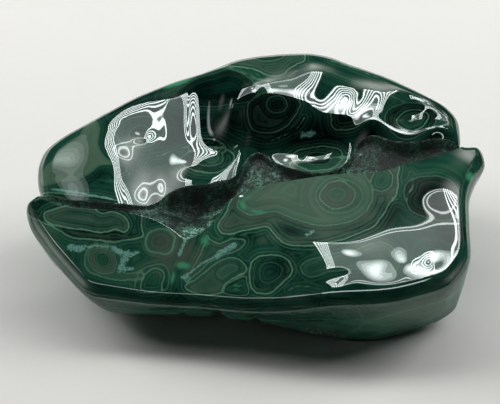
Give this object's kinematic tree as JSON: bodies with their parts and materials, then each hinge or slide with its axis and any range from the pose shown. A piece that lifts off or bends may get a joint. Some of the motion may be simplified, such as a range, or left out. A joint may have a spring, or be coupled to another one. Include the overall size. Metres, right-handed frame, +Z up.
{
  "type": "polished malachite stone",
  "caption": "Free-form polished green stone with a sloping banded face, a rough crevice and a taller scooped body behind it; rests on a flat underside.",
  "frame": {"origin": "centre of the stone's box in plan, at the level of the flat foot it rests on", "axes": "+X along the stone's length, to the right as seen from the polished face; +Y from the sloping polished face towards the back; +Z up"},
  "size_m": [0.1286, 0.0826, 0.0417],
  "materials": {
    "malachite": "polished banded malachite: deep green with fine lighter rings, glassy on the faces, rough in the crevice and underneath"
  },
  "bodies": {
    "root": {"malachite_stone": "malachite"}
  },
  "joints": []
}
